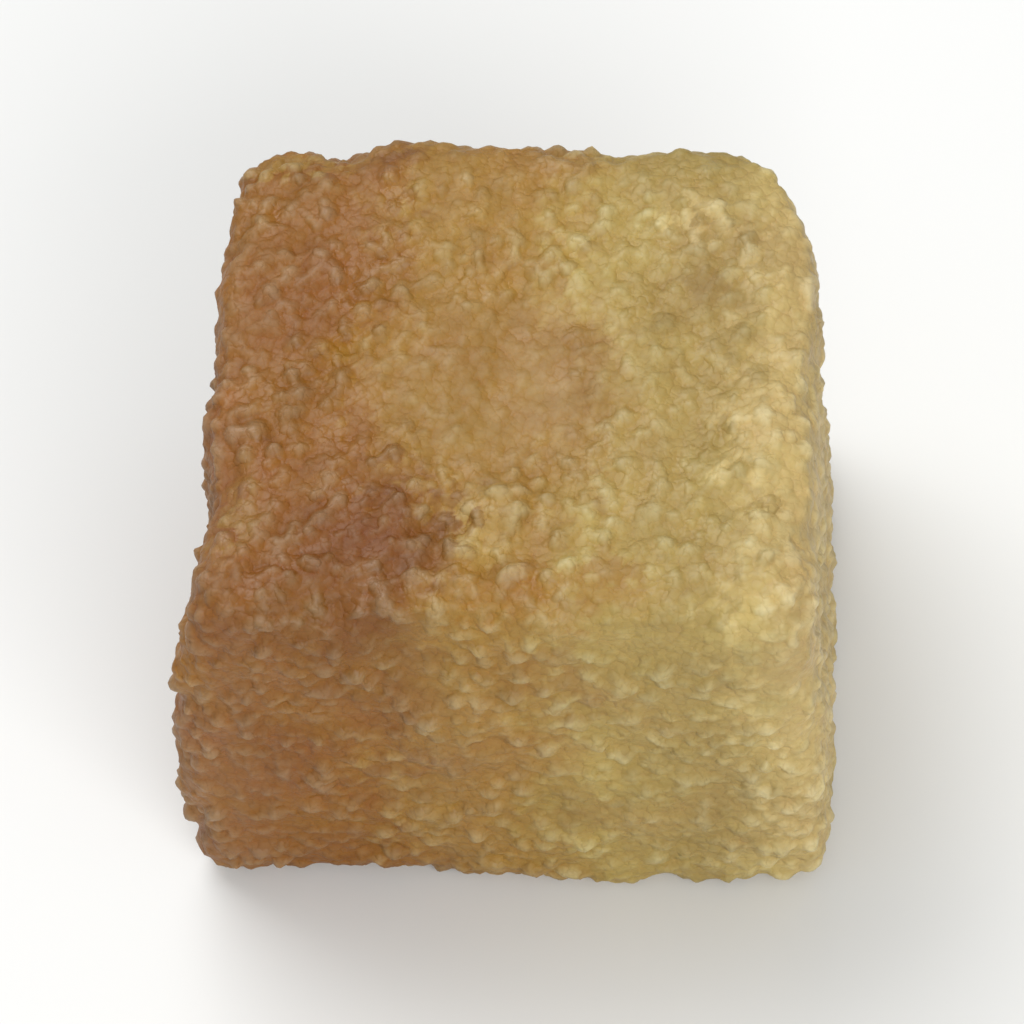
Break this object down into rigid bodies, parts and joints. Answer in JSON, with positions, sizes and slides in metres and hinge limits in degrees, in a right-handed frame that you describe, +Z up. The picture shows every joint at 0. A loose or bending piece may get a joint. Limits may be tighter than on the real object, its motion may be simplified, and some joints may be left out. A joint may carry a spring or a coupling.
{
  "type": "milk cake",
  "caption": "Cut block of milk cake, a grainy cooked-milk sweet, browned at one side and cream at the other, with crumbly edges and a flat base.",
  "frame": {"origin": "middle of the base of the block's bounding box", "axes": "+Z up, -Y the front, -X the browned side and +X the cream side"},
  "size_m": [0.0338, 0.03, 0.0277],
  "materials": {
    "milk_cake": "moist, grainy satin, from caramel brown to cream"
  },
  "bodies": {
    "root": {"milk_cake": "milk_cake"}
  },
  "joints": []
}
